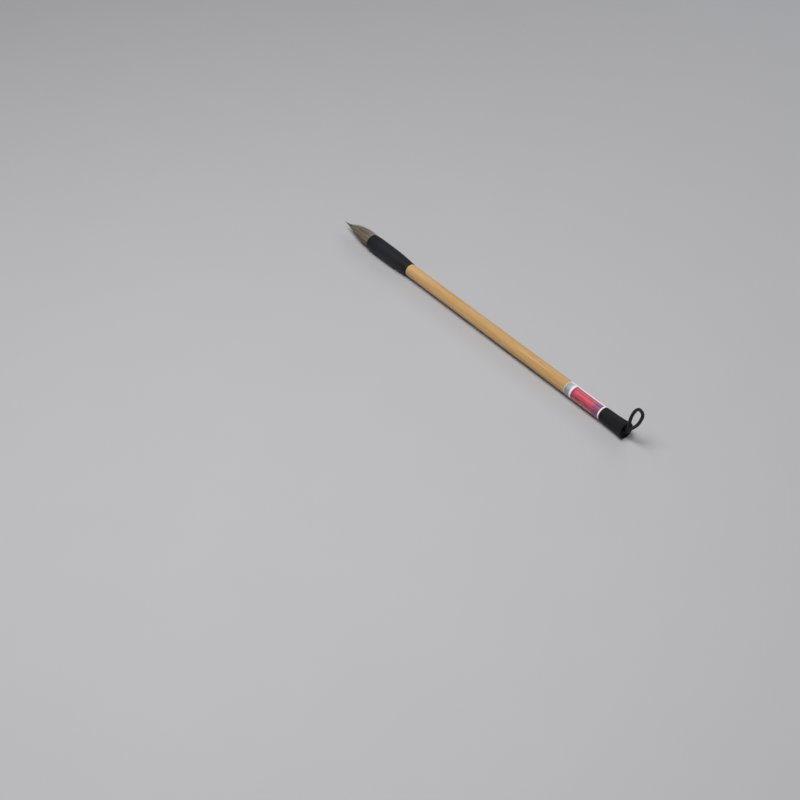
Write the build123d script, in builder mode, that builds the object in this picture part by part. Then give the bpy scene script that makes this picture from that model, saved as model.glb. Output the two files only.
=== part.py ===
# A Chinese calligraphy brush: a layered hair tuft set in a turned ferrule, a bamboo shaft with a foil
# label, and a fluted tail cap with a hanging loop of round cord.
#
# The brush lies along +X with its point towards -X. The origin is under the middle of its length, on the
# surface that it lies on, and +Z is up. Lengths are in millimetres. Places along the brush are distances
# from the point of the tuft, and every turned outline is drawn as (distance from the point, radius).

from build123d import *

import math
import os

# ---- driving dimensions -------------------------------------------------------------------------
HAIR_OUT = 29.0  # length of hair that stands out of the ferrule
FERRULE_LENGTH = 38.0  # from its mouth to its shoulder on the shaft
SHAFT_LENGTH = 175.5
CAP_LENGTH = 18.5
LABEL_LENGTH = 29.0

SWELL_RADIUS = 5.25  # the widest part of the ferrule, and the lip of the tail cap
SHAFT_FRONT_RADIUS = 4.0
SHAFT_REAR_RADIUS = 4.15
TUFT_RADIUS = 4.3  # the tuft where it leaves the ferrule
CORD_DIAMETER = 2.0

# ---- places along the brush ---------------------------------------------------------------------
MOUTH = HAIR_OUT
SHOULDER = MOUTH + FERRULE_LENGTH
SHAFT_END = SHOULDER + SHAFT_LENGTH
BRUSH_LENGTH = SHAFT_END + CAP_LENGTH

POINT_X = -BRUSH_LENGTH / 2
AXIS_Z = SWELL_RADIUS
BRUSH_AXIS = Axis((0, 0, AXIS_Z), (1, 0, 0))
# Local x is the distance from the point of the tuft, and local y is the radius.
OUTLINE = Plane(origin=(POINT_X, 0, AXIS_Z), x_dir=(1, 0, 0), z_dir=(0, -1, 0))

# ---- ferrule ------------------------------------------------------------------------------------
RIM_RADIUS = 5.0
RIM_ROUND = 0.35
LAND_START = MOUTH + 8.0  # the straight stretch that a protective tube slides over
LAND_LENGTH = 8.0
FERRULE_REAR_RADIUS = 4.15
SOCKET_RADIUS = 4.35
SOCKET_DEPTH = 15.0
FRONT_TENON_RADIUS = 2.5
FRONT_TENON_LENGTH = 12.0

# ---- bamboo shaft -------------------------------------------------------------------------------
TAPER_END = SHAFT_END - LABEL_LENGTH - 8.0  # the shaft is straight from here to the tail cap
SHAFT_FRONT_ROUND = 0.9
SHAFT_REAR_CHAMFER = 0.25
PITH_RADIUS = 2.2  # the culm's own hollow
TENON_CLEARANCE = 0.02
TENON_RELIEF = 0.6  # how much deeper a counterbore is than its tenon

# ---- label --------------------------------------------------------------------------------------
LABEL_THICKNESS = 0.1
LABEL_ARC = 338.0  # how far round the shaft the label reaches, in degrees
LABEL_START = 37.0  # how far its seam edge lies from the top, in degrees towards +Y

# ---- tail cap -----------------------------------------------------------------------------------
CAP_FRONT_RADIUS = 4.2
CAP_WAIST_RADIUS = 4.42  # radius half way along, where the flare begins
CAP_EDGE = 0.2
RIB_COUNT = 24
FLUTE_RADIUS = 0.42
FLUTE_DEPTH = 0.16
FLUTE_MARGIN = 1.0  # plain band in front of the flutes
REAR_TENON_RADIUS = 3.3
REAR_TENON_LENGTH = 8.0
KNOT_ROOM_RADIUS = 2.85
END_WALL = 4.4  # from the knot's room to the lip's end face
DISH_RADIUS = 4.75
DISH_DEPTH = 1.75

# ---- hanging loop -------------------------------------------------------------------------------
CORD_RADIUS = CORD_DIAMETER / 2
STRAND_OFFSET = 1.05  # from the middle of the pair to the middle of each strand
ROOT_RADIUS = STRAND_OFFSET + CORD_RADIUS
ROOT_CLEARANCE = 0.1
ROOT = BRUSH_LENGTH - DISH_DEPTH  # where the two strands leave the slot in the cap's end wall
TAIL_GAP = 0.05  # between the fixed tails and the loop that flexes
KNOT_RADIUS, KNOT_LENGTH, KNOT_ROUND = 2.6, 5.5, 1.6
# The loop's route from its upper strand round to its lower one: (outwards, upwards) from ROOT.
LOOP_ROUTE = [
    (0.0, STRAND_OFFSET),
    (2.2, 1.15),
    (3.8, 3.2),
    (3.4, 7.7),
    (4.1, 11.5),
    (5.5, 15.5),
    (7.4, 18.8),
    (9.5, 20.3),
    (11.9, 19.4),
    (12.4, 16.9),
    (11.3, 13.6),
    (10.0, 10.1),
    (7.7, 6.6),
    (4.9, 3.3),
    (2.5, -0.95),
    (0.0, -STRAND_OFFSET),
]


def place(distance, height=0.0):
    """The point at a distance from the tuft's point, at a height from the brush's axis."""
    return (POINT_X + distance, 0, AXIS_Z + height)


def rod(start, length, radius):
    """A sketch of half the section of a round rod along the brush's axis."""
    with BuildSketch(OUTLINE) as section:
        with Locations((start, 0)):
            Rectangle(length, radius, align=(Align.MIN, Align.MIN))
    return section.sketch


# ---- tuft ---------------------------------------------------------------------------------------
ROOT_START = MOUTH + 2.5  # where the free hairs end and their bound roots begin
HAIR_GAP = 0.04  # between one layer of hair and the next
POINT_RADIUS = 0.12

CORE_BACK = 2.35  # radius of the core's rounded back, about the middle of the ferrule's mouth
CORE_BACK_START = 1.0  # how far behind the mouth the rounded back begins
CORE_END = (MOUTH + CORE_BACK_START, math.sqrt(CORE_BACK**2 - CORE_BACK_START**2))
CORE_OUTLINE = [(0.0, POINT_RADIUS), (6.0, 0.8), (15.0, 1.75), CORE_END]
BELLY_OUTLINE = [(10.0, 1.5), (18.0, 2.75), (ROOT_START, 3.3)]
COVER_OUTLINE = [(6.5, 1.15), (14.0, 2.85), (21.5, 3.88), (26.0, 4.2), (ROOT_START, TUFT_RADIUS)]


def hair_section(outline, lift=0.0):
    """A sketch of the region under a smooth outline of hair, raised by lift, as far as its roots."""
    raised = [(distance, radius + lift) for distance, radius in outline]
    with BuildSketch(OUTLINE) as section:
        with BuildLine():
            edge = Spline(*raised)
            Polyline(edge @ 1, (raised[-1][0], 0), (raised[0][0], 0), edge @ 0)
        make_face()
    return section.sketch


with BuildPart() as core_hair:
    with BuildSketch(OUTLINE):
        with BuildLine():
            edge = Spline(*CORE_OUTLINE)
            back = (MOUTH + CORE_BACK, 0)
            RadiusArc(edge @ 1, back, CORE_BACK)
            Polyline(back, (0, 0), edge @ 0)
        make_face()
    revolve(axis=BRUSH_AXIS)

with BuildPart() as belly_hair:
    revolve(hair_section(BELLY_OUTLINE), axis=BRUSH_AXIS)
    revolve(hair_section(CORE_OUTLINE, HAIR_GAP), axis=BRUSH_AXIS, mode=Mode.SUBTRACT)
    revolve(rod(MOUTH, ROOT_START - MOUTH, CORE_BACK), axis=BRUSH_AXIS, mode=Mode.SUBTRACT)

with BuildPart() as cover_hair:
    revolve(hair_section(COVER_OUTLINE), axis=BRUSH_AXIS)
    revolve(hair_section(BELLY_OUTLINE, HAIR_GAP), axis=BRUSH_AXIS, mode=Mode.SUBTRACT)
    revolve(hair_section(CORE_OUTLINE, HAIR_GAP), axis=BRUSH_AXIS, mode=Mode.SUBTRACT)

# The roots stand in the socket, gathered to a waist where the thread binds them.
SOCKET_END = MOUTH + SOCKET_DEPTH
RESIN_LENGTH = 2.0
ROOT_END = SOCKET_END - RESIN_LENGTH
THREAD_RADIUS = 0.16
THREAD_TURNS = 6
THREAD_PITCH = 0.3
BINDING_MIDDLE = ROOT_END - 2.2
WAIST_RADIUS = 3.75
WAIST_LENGTH = THREAD_PITCH * (THREAD_TURNS - 1) + 2 * THREAD_RADIUS + 0.2

with BuildPart() as hair_root:
    with BuildSketch(OUTLINE):
        with Locations((ROOT_START + HAIR_GAP, 0)):
            Rectangle(ROOT_END - ROOT_START - HAIR_GAP, TUFT_RADIUS, align=(Align.MIN, Align.MIN))
        with Locations((BINDING_MIDDLE, WAIST_RADIUS)):
            Rectangle(WAIST_LENGTH, TUFT_RADIUS, align=(Align.CENTER, Align.MIN), mode=Mode.SUBTRACT)
    revolve(axis=BRUSH_AXIS)

with BuildPart() as binding_thread:
    with BuildSketch(OUTLINE):
        with Locations((BINDING_MIDDLE, WAIST_RADIUS + HAIR_GAP + THREAD_RADIUS)):
            with GridLocations(THREAD_PITCH, 0, THREAD_TURNS, 1):
                Circle(THREAD_RADIUS)
    revolve(axis=BRUSH_AXIS)

with BuildPart() as root_resin:
    revolve(rod(ROOT_END, RESIN_LENGTH, SOCKET_RADIUS), axis=BRUSH_AXIS)


# ---- ferrule ------------------------------------------------------------------------------------
with BuildPart() as ferrule:
    with BuildSketch(OUTLINE):
        with BuildLine():
            land = Line(
                (LAND_START, SWELL_RADIUS),
                (LAND_START + LAND_LENGTH, SWELL_RADIUS),
            )
            swell = TangentArc(land @ 0, (MOUTH, RIM_RADIUS), tangent=(-1, 0))
            taper = TangentArc(land @ 1, (SHOULDER, FERRULE_REAR_RADIUS), tangent=(1, 0))
            Polyline(
                taper @ 1,
                (SHOULDER, FRONT_TENON_RADIUS),
                (SHOULDER + FRONT_TENON_LENGTH, FRONT_TENON_RADIUS),
                (SHOULDER + FRONT_TENON_LENGTH, 0),
                (SOCKET_END, 0),
                (SOCKET_END, SOCKET_RADIUS),
                (MOUTH, SOCKET_RADIUS),
                swell @ 1,
            )
        make_face()
    revolve(axis=BRUSH_AXIS)
    rim = ferrule.faces().filter_by(GeomType.PLANE).sort_by(Axis.X)[0]
    fillet(rim.edges().sort_by(SortBy.LENGTH)[-1], RIM_ROUND)
    tenon_end = ferrule.faces().filter_by(GeomType.PLANE).sort_by(Axis.X)[-1]
    chamfer(tenon_end.edges(), 0.4)


# ---- bamboo shaft -------------------------------------------------------------------------------
with BuildPart() as bamboo_shaft:
    with BuildSketch(OUTLINE):
        with BuildLine():
            Polyline(
                (SHOULDER, 0),
                (SHOULDER, SHAFT_FRONT_RADIUS),
                (TAPER_END, SHAFT_REAR_RADIUS),
                (SHAFT_END, SHAFT_REAR_RADIUS),
                (SHAFT_END, 0),
                close=True,
            )
        make_face()
    revolve(axis=BRUSH_AXIS)
    ends = bamboo_shaft.faces().filter_by(GeomType.PLANE).sort_by(Axis.X)
    fillet(ends[0].edges(), SHAFT_FRONT_ROUND)
    chamfer(ends[-1].edges(), SHAFT_REAR_CHAMFER)
    rear_bore = REAR_TENON_LENGTH + TENON_RELIEF
    for start, length, radius in (
        (SHOULDER, SHAFT_LENGTH, PITH_RADIUS),
        (SHOULDER, FRONT_TENON_LENGTH + TENON_RELIEF, FRONT_TENON_RADIUS + TENON_CLEARANCE),
        (SHAFT_END - rear_bore, rear_bore, REAR_TENON_RADIUS + TENON_CLEARANCE),
    ):
        revolve(rod(start, length, radius), axis=BRUSH_AXIS, mode=Mode.SUBTRACT)


# ---- label --------------------------------------------------------------------------------------
LABEL_END_GAP = SHAFT_REAR_CHAMFER + 0.05  # it stops short of the shaft's chamfered end

with BuildPart() as foil_label:
    with BuildSketch(OUTLINE):
        with Locations((SHAFT_END - LABEL_END_GAP, SHAFT_REAR_RADIUS)):
            Rectangle(LABEL_LENGTH, LABEL_THICKNESS, align=(Align.MAX, Align.MIN))
    revolve(axis=BRUSH_AXIS, revolution_arc=LABEL_ARC)
foil_label.part = foil_label.part.rotate(BRUSH_AXIS, -LABEL_START)


# ---- tail cap -----------------------------------------------------------------------------------
CAP_MIDDLE = (SHAFT_END + BRUSH_LENGTH) / 2

with BuildPart() as flute_cutter:
    rise = FLUTE_RADIUS - FLUTE_DEPTH
    with BuildLine() as flute_path:
        Spline(
            place(SHAFT_END + FLUTE_MARGIN, CAP_FRONT_RADIUS + rise + 0.02),
            place(CAP_MIDDLE, CAP_WAIST_RADIUS + rise),
            place(BRUSH_LENGTH - CAP_EDGE, SWELL_RADIUS + rise),
            place(BRUSH_LENGTH + 1, SWELL_RADIUS + rise + 0.2),
        )
    with BuildSketch(Plane(origin=flute_path.line @ 0, z_dir=flute_path.line % 0)):
        Circle(FLUTE_RADIUS)
    sweep(path=flute_path.line)

with BuildPart() as tail_cap:
    with BuildSketch(OUTLINE):
        with BuildLine():
            side = Spline(
                (SHAFT_END, CAP_FRONT_RADIUS),
                (CAP_MIDDLE, CAP_WAIST_RADIUS),
                (BRUSH_LENGTH - CAP_EDGE, SWELL_RADIUS),
            )
            Polyline(
                side @ 1,
                (BRUSH_LENGTH, SWELL_RADIUS - CAP_EDGE),
                (BRUSH_LENGTH, DISH_RADIUS),
                (BRUSH_LENGTH - DISH_DEPTH, ROOT_RADIUS + ROOT_CLEARANCE),
                (BRUSH_LENGTH - DISH_DEPTH, 0),
                (BRUSH_LENGTH - END_WALL, 0),
                (BRUSH_LENGTH - END_WALL, KNOT_ROOM_RADIUS),
                (SHAFT_END - REAR_TENON_LENGTH, KNOT_ROOM_RADIUS),
                (SHAFT_END - REAR_TENON_LENGTH, REAR_TENON_RADIUS),
                (SHAFT_END, REAR_TENON_RADIUS),
                side @ 0,
            )
        make_face()
    revolve(axis=BRUSH_AXIS)
    # The two strands leave through an upright slot in the end wall.
    with BuildSketch(Plane(origin=place(BRUSH_LENGTH), x_dir=(0, 0, 1), z_dir=(1, 0, 0))):
        SlotCenterToCenter(2 * STRAND_OFFSET, CORD_DIAMETER + 2 * ROOT_CLEARANCE)
    extrude(amount=-END_WALL, mode=Mode.SUBTRACT)
    # A rib is left at the very bottom, so that the lip and the ferrule lie on the same surface.
    pitch = 360 / RIB_COUNT
    flutes = [flute_cutter.part.rotate(BRUSH_AXIS, pitch * (turn + 0.5)) for turn in range(RIB_COUNT)]
    add(flutes, mode=Mode.SUBTRACT)


# ---- hanging loop -------------------------------------------------------------------------------
KNOT_PLACE = BRUSH_LENGTH - END_WALL - KNOT_LENGTH - 0.1

with BuildPart() as knotted_tails:
    revolve(rod(KNOT_PLACE, KNOT_LENGTH, KNOT_RADIUS), axis=BRUSH_AXIS)
    fillet(knotted_tails.edges().filter_by(GeomType.CIRCLE), KNOT_ROUND)
    with BuildSketch(Plane(origin=place(KNOT_PLACE + KNOT_ROUND), x_dir=(0, 0, 1), z_dir=(1, 0, 0))):
        with GridLocations(2 * STRAND_OFFSET, 0, 2, 1):
            Circle(CORD_RADIUS)
    extrude(amount=ROOT - TAIL_GAP - KNOT_PLACE - KNOT_ROUND)


def corner_radius(before, corner, after):
    """The largest gentle bend at a corner of the cord's route."""
    run_in, run_out = Vector(*corner) - Vector(*before), Vector(*after) - Vector(*corner)
    half_turn = math.radians(run_in.get_angle(run_out)) / 2
    return 0.45 * min(run_in.length, run_out.length) / math.tan(half_turn)


BENDS = [corner_radius(*LOOP_ROUTE[i : i + 3]) for i in range(len(LOOP_ROUTE) - 2)]
print("bend radii of the loop:", [round(bend, 1) for bend in BENDS])

with BuildPart() as cord_loop:
    with BuildLine() as loop_line:
        FilletPolyline(*[place(ROOT + out, up) for out, up in LOOP_ROUTE], radius=BENDS)
    with BuildSketch(Plane(origin=loop_line.line @ 0, z_dir=loop_line.line % 0)):
        Circle(CORD_RADIUS)
    sweep(path=loop_line.line)

LOOP_LENGTH = sum(edge.length for edge in loop_line.edges())
TUBE_VOLUME = math.pi * CORD_RADIUS**2 * LOOP_LENGTH
print(f"loop length {LOOP_LENGTH:.1f}, volume {cord_loop.part.volume:.1f}, expected {TUBE_VOLUME:.1f}")


# ---- export -------------------------------------------------------------------------------------
PIECES = {
    "core_hair": core_hair,
    "belly_hair": belly_hair,
    "cover_hair": cover_hair,
    "hair_root": hair_root,
    "binding_thread": binding_thread,
    "root_resin": root_resin,
    "ferrule": ferrule,
    "bamboo_shaft": bamboo_shaft,
    "foil_label": foil_label,
    "tail_cap": tail_cap,
    "knotted_tails": knotted_tails,
    "cord_loop": cord_loop,
}

os.makedirs("parts", exist_ok=True)
for name, piece in PIECES.items():
    piece.part.label = name
    export_step(piece.part, f"parts/{name}.step")
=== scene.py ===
import math
import random

import bmesh
import bpy
from bpy.props import FloatProperty, FloatVectorProperty, IntProperty, PointerProperty
from mathutils import Matrix, Vector, noise


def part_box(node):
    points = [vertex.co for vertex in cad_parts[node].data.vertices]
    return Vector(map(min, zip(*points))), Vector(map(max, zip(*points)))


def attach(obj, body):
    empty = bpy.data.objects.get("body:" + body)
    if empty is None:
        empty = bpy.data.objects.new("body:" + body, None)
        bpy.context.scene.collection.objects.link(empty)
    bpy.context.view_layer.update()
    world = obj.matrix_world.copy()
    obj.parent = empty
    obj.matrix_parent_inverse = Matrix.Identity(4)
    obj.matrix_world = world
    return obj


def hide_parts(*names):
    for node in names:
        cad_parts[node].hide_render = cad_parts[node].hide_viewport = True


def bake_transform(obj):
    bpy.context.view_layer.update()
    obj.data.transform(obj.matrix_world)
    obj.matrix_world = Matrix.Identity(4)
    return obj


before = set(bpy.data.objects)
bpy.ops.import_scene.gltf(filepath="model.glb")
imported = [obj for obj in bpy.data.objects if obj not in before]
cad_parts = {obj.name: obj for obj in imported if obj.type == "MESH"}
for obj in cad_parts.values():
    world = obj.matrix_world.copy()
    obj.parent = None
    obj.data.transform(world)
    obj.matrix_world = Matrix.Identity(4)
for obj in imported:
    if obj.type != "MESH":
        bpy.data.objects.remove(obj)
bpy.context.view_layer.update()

bl_info = {
    "name": "Calligraphy Brush",
    "version": (1, 0, 0),
    "blender": (4, 5, 0),
    "location": "View3D > Sidebar > Brush",
    "description": "Builds a bamboo calligraphy brush with a hair tuft, a foil label and a hanging loop",
    "category": "Add Mesh",
}

# ---- places, from the frame -----------------------------------------------------------------------
MM = 0.001
TUFT_TIP_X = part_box("core_hair")[0].x
MOUTH_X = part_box("ferrule")[0].x
SHOULDER_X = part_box("bamboo_shaft")[0].x
SHAFT_END_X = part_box("bamboo_shaft")[1].x
LIP_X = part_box("tail_cap")[1].x
FERRULE_LOW, FERRULE_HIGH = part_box("ferrule")
SWELL_RADIUS = (FERRULE_HIGH.z - FERRULE_LOW.z) / 2
AXIS_Z = FERRULE_LOW.z + SWELL_RADIUS


def half_height(node):
    """The radius of a turned node, from its box."""
    low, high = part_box(node)
    return (high.z - low.z) / 2


TUFT_RADIUS = 4.3 * MM
HAIR_LENGTH = MOUTH_X - TUFT_TIP_X
SHAFT_RADIUS = half_height("bamboo_shaft")
LABEL_RADIUS = half_height("foil_label")
DISH_DEPTH = 1.75 * MM
ROOT_X = LIP_X - DISH_DEPTH  # where the cord's two strands leave the slot in the cap

# Sizes that two pieces share where they meet.
SHOULDER_RADIUS = 4.15 * MM
SHAFT_FRONT_RADIUS = 4.0 * MM
FRONT_TENON_RADIUS = 2.5 * MM
REAR_TENON_RADIUS = 3.3 * MM
TENON_CLEARANCE = 0.02 * MM
CAP_FRONT_RADIUS = 4.2 * MM
KNOT_ROOM_RADIUS = 2.85 * MM
STRAND_OFFSET = 1.05 * MM  # how far each of the cord's strands is from the brush's axis at the slot


# ---- shader maths ---------------------------------------------------------------------------------
class Signal:
    """One output of a shader node. Arithmetic on signals and numbers adds Math nodes."""

    def __init__(self, finish, socket):
        self.finish = finish
        self.socket = socket

    def other(self, name):
        """Another output of the same node."""
        return Signal(self.finish, self.socket.node.outputs[name])

    def math(self, operation, *values):
        return self.finish.node("ShaderNodeMath", {"operation": operation}, dict(enumerate(values)))

    def __add__(self, value):
        return self.math("ADD", self, value)

    def __sub__(self, value):
        return self.math("SUBTRACT", self, value)

    def __rsub__(self, value):
        return self.math("SUBTRACT", value, self)

    def __mul__(self, value):
        return self.math("MULTIPLY", self, value)

    def __truediv__(self, value):
        return self.math("DIVIDE", self, value)

    __radd__ = __add__
    __rmul__ = __mul__

    def sine(self):
        return self.math("SINE", self)

    def size(self):
        """The value without its sign."""
        return self.math("ABSOLUTE", self)

    def whole(self):
        return self.math("FLOOR", self)

    def rest(self):
        """The part after the point."""
        return self.math("FRACT", self)

    def step(self, low, high):
        """0 below low and 1 above high, with a smooth slope between them."""
        settings = {"interpolation_type": "SMOOTHSTEP"}
        sockets = {"Value": self, "From Min": low, "From Max": high}
        return self.finish.node("ShaderNodeMapRange", settings, sockets)

    def between(self, low, high, soft):
        """1 between two values and 0 outside them, with soft edges."""
        return self.step(low - soft, low + soft) * (1 - self.step(high - soft, high + soft))

    def near(self, value, inner, outer):
        """1 within the inner distance of a value and 0 past the outer one."""
        return (self - value).size().step(outer, inner)


class Finish:
    """A procedural material for one surface of the brush."""

    def __init__(self, name, **constants):
        self.material = bpy.data.materials.new(name)
        self.material.use_nodes = True
        self.tree = self.material.node_tree
        self.tree.nodes.clear()
        shader = self.node("ShaderNodeBsdfPrincipled", {}, constants)
        self.shader = shader.socket.node
        self.node("ShaderNodeOutputMaterial", {}, {"Surface": shader})

    def node(self, kind, settings=None, sockets=None, output=0):
        """Adds a node, sets it up, then fills its sockets with values or links."""
        node = self.tree.nodes.new(kind)
        node.location = (220 * (len(self.tree.nodes) % 12), -260 * (len(self.tree.nodes) // 12))
        for name, value in (settings or {}).items():
            if name == "stops":
                set_stops(node.color_ramp, value)
            else:
                setattr(node, name, value)
        for name, value in (sockets or {}).items():
            if isinstance(value, Signal):
                self.tree.links.new(value.socket, node.inputs[name])
            else:
                node.inputs[name].default_value = value
        return Signal(self, node.outputs[output]) if node.outputs else node

    def set(self, **signals):
        """Feeds the shader's sockets, with a space in a name written as an underscore."""
        for name, signal in signals.items():
            self.tree.links.new(signal.socket, self.shader.inputs[name.replace("_", " ")])

    def place(self):
        """The point on the surface in millimetres, in the brush's frame."""
        at = self.node("ShaderNodeTexCoord", output="Object")
        settings = {"operation": "SCALE"}
        return self.node("ShaderNodeVectorMath", settings, {0: at, "Scale": 1 / MM})

    def stretched(self, place, x, y, z):
        settings = {"operation": "MULTIPLY"}
        return self.node("ShaderNodeVectorMath", settings, {0: place, 1: (x, y, z)})

    def parts(self, vector):
        """The three parts of a vector."""
        split = self.node("ShaderNodeSeparateXYZ", {}, {0: vector})
        return split, split.other("Y"), split.other("Z")

    def cloud(self, vector, scale, detail=3.0, roughness=0.5, distortion=0.0):
        """Smooth noise from 0 to 1."""
        sockets = {"Vector": vector, "Scale": scale, "Detail": detail}
        sockets.update({"Roughness": roughness, "Distortion": distortion})
        return self.node("ShaderNodeTexNoise", {"normalize": True}, sockets)

    def attribute(self, name):
        return self.node("ShaderNodeAttribute", {"attribute_name": name}, {}, "Fac")

    def ramp(self, signal, *stops):
        return self.node("ShaderNodeValToRGB", {"stops": stops}, {"Fac": signal})

    def mix(self, factor, first, second):
        """A colour between two colours."""
        sockets = {0: factor, 6: opaque(first), 7: opaque(second)}
        return self.node("ShaderNodeMix", {"data_type": "RGBA"}, sockets, 2)

    def bump(self, height, depth):
        """Feeds the shader's normal with relief that is depth metres deep."""
        sockets = {"Height": height, "Distance": depth, "Strength": 1.0}
        self.set(Normal=self.node("ShaderNodeBump", {}, sockets))


def opaque(colour):
    """A colour with the fourth value that a colour socket takes, or a signal as it is."""
    return colour if isinstance(colour, Signal) else (*colour[:3], 1.0)


def set_stops(ramp, stops):
    """Gives a colour ramp its stops: (place, colour) pairs."""
    while len(ramp.elements) < len(stops):
        ramp.elements.new(1.0)
    for element, (place, colour) in zip(ramp.elements, stops):
        element.position = place
        element.color = opaque(colour)


# ---- meshes ---------------------------------------------------------------------------------------
def place_on_axis(x, radius, angle):
    """A point at a radius from the brush's axis; the angle is from the top towards -Y, in radians."""
    return Vector((x, -radius * math.sin(angle), AXIS_Z + radius * math.cos(angle)))


def add_piece(name, mesh, finish, body, replaced=(), crease=40.0):
    """Links a mesh as a piece that rides on a body and stands for CAD nodes."""
    mesh.materials.append(finish)
    mesh.shade_smooth()
    mesh.set_sharp_from_angle(angle=math.radians(crease))
    piece = bpy.data.objects.new(name, mesh)
    bpy.context.scene.collection.objects.link(piece)
    if replaced:
        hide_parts(*replaced)
    if body:
        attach(piece, body)
    return piece


def turned_mesh(name, rings, sides, closed=False):
    """A mesh turned about the brush's axis. rings are (x, radius), where a radius is a number or a
    function of the angle, and a radius of 0 is one point. closed joins the last ring to the first."""
    work = bmesh.new()
    loops = []
    for x, radius in rings:
        if radius == 0:
            loops.append([work.verts.new(place_on_axis(x, 0, 0))] * sides)
            continue
        angles = [math.tau * step / sides for step in range(sides)]
        radii = [radius(angle) if callable(radius) else radius for angle in angles]
        loops.append([work.verts.new(place_on_axis(x, r, a)) for r, a in zip(radii, angles)])
    pairs = list(zip(loops, loops[1:]))
    if closed:
        pairs.append((loops[-1], loops[0]))
    for first, second in pairs:
        for side in range(sides):
            after = (side + 1) % sides
            corners = dict.fromkeys((first[side], first[after], second[after], second[side]))
            if len(corners) > 2:
                work.faces.new(corners)
    bmesh.ops.recalc_face_normals(work, faces=work.faces)
    mesh = bpy.data.meshes.new(name)
    work.to_mesh(mesh)
    work.free()
    return mesh


def arc(centre_x, centre_r, radius, start, end, steps):
    """Points (x, radius) on an arc of an outline, with angles in degrees from +x outwards."""
    turn = [math.radians(start + (end - start) * step / steps) for step in range(steps + 1)]
    return [(centre_x + radius * math.cos(a), centre_r + radius * math.sin(a)) for a in turn]


def spread(start, end, steps):
    """Evenly spaced values from start to end."""
    return [start + (end - start) * step / steps for step in range(steps + 1)]


def smooth_steps(value):
    return value * value * (3 - 2 * value)


def through(points, at):
    """The height at a place of a smooth curve through (place, height) points, by cubic interpolation."""
    index = max(i for i in range(len(points) - 1) if at >= points[i][0] or i == 0)
    (x0, y0), (x1, y1) = points[index], points[index + 1]
    before = points[max(index - 1, 0)]
    after = points[min(index + 2, len(points) - 1)]
    share = min(max((at - x0) / (x1 - x0), 0.0), 1.0)
    slope0 = (y1 - before[1]) / (x1 - before[0]) * (x1 - x0)
    slope1 = (after[1] - y0) / (after[0] - x0) * (x1 - x0)
    square, cube = share**2, share**3
    level = y0 * (2 * cube - 3 * square + 1) + y1 * (3 * square - 2 * cube)
    return level + slope0 * (cube - 2 * square + share) + slope1 * (cube - square)


def set_attribute(mesh, name, values):
    """Stores one number for each point of a mesh."""
    mesh.attributes.new(name, "FLOAT", "POINT").data.foreach_set("value", values)


class TubeMesh:
    """Gathers thin tubes, such as hairs and strands, into one mesh with numbers on its points."""

    def __init__(self, *attributes):
        self.points = []
        self.faces = []
        self.values = {name: [] for name in attributes}

    def add(self, line, radii, sides, sideways, flat=1.0, **values):
        """Adds a closed tube along a line of points. sideways is a direction that isn't along it, or
        one for each point, and flat is the section's height over its width. Each value is a number,
        or a number for each point. An attribute called around gets the share of the way round."""
        first = len(self.points)
        last = len(line) - 1
        for index, (point, radius) in enumerate(zip(line, radii)):
            ahead = (line[min(index + 1, last)] - line[max(index - 1, 0)]).normalized()
            out = sideways[index] if isinstance(sideways, list) else sideways
            across = ahead.cross(out).normalized()
            out = across.cross(ahead)
            for side in range(sides):
                angle = math.tau * side / sides
                turn = across * (radius * math.cos(angle)) + out * (radius * flat * math.sin(angle))
                self.points.append(point + turn)
            for name, value in values.items():
                self.values[name] += [value[index] if isinstance(value, list) else value] * sides
            if "around" in self.values:
                self.values["around"] += [side / sides for side in range(sides)]
        for index in range(last):
            low = first + index * sides
            for side in range(sides):
                after = (side + 1) % sides
                self.faces.append((low + side, low + after, low + sides + after, low + sides + side))
        self.faces.append(tuple(range(first + sides - 1, first - 1, -1)))
        self.faces.append(tuple(range(first + last * sides, first + last * sides + sides)))

    def mesh(self, name):
        mesh = bpy.data.meshes.new(name)
        mesh.from_pydata(self.points, [], self.faces)
        for attribute, values in self.values.items():
            set_attribute(mesh, attribute, values)
        return mesh


# ---- settings -------------------------------------------------------------------------------------
def length(name, description, default):
    return FloatProperty(name=name, description=description, default=default, unit="LENGTH", precision=5)


def colour(name, description, default):
    return FloatVectorProperty(
        name=name, description=description, default=default, subtype="COLOR", size=3, min=0, max=1
    )


def quantity(name, description, default):
    return IntProperty(name=name, description=description, default=default)


def amount(name, description, default, unit="NONE"):
    return FloatProperty(name=name, description=description, default=default, unit=unit)


class TuftSettings(bpy.types.PropertyGroup):
    """Sizes and colours of the hair tuft."""

    cover_hairs: quantity("Cover hairs", "Soft outer hairs", 1900)
    belly_hairs: quantity("Belly hairs", "Hairs of the middle layer", 700)
    core_hairs: quantity("Core hairs", "Stiff hairs of the point", 260)
    stray_hairs: quantity("Stray hairs", "Hairs that stand off the tuft's top", 380)
    hair_width: length("Hair width", "Width of an outer hair at its root", 0.16 * MM)
    root_colour: colour("Root colour", "Hair near the ferrule", (0.200, 0.130, 0.098))
    belly_colour: colour("Belly colour", "Hair along the middle of the tuft", (0.185, 0.142, 0.092))
    # The fringe colour is also the painted highlight on the tuft's upper side.
    fringe_and_highlight_colour: colour("Fringe colour", "Pale ends and the soft upper side", (0.46, 0.41, 0.32))
    point_colour: colour("Point colour", "The long fine point", (0.24, 0.20, 0.175))
    # The dark colour also carries the painted shade on the tuft's underside.
    dark_colour: colour("Dark colour", "The darkest hairs", (0.030, 0.022, 0.017))


class FerruleSettings(bpy.types.PropertyGroup):
    """Finish of the ferrule."""

    shade: colour("Shade", "Body colour of the ferrule", (0.0135, 0.0140, 0.0180))
    sheen_shade: colour("Rubbed shade", "Where handling has polished it", (0.022, 0.023, 0.029))


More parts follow.
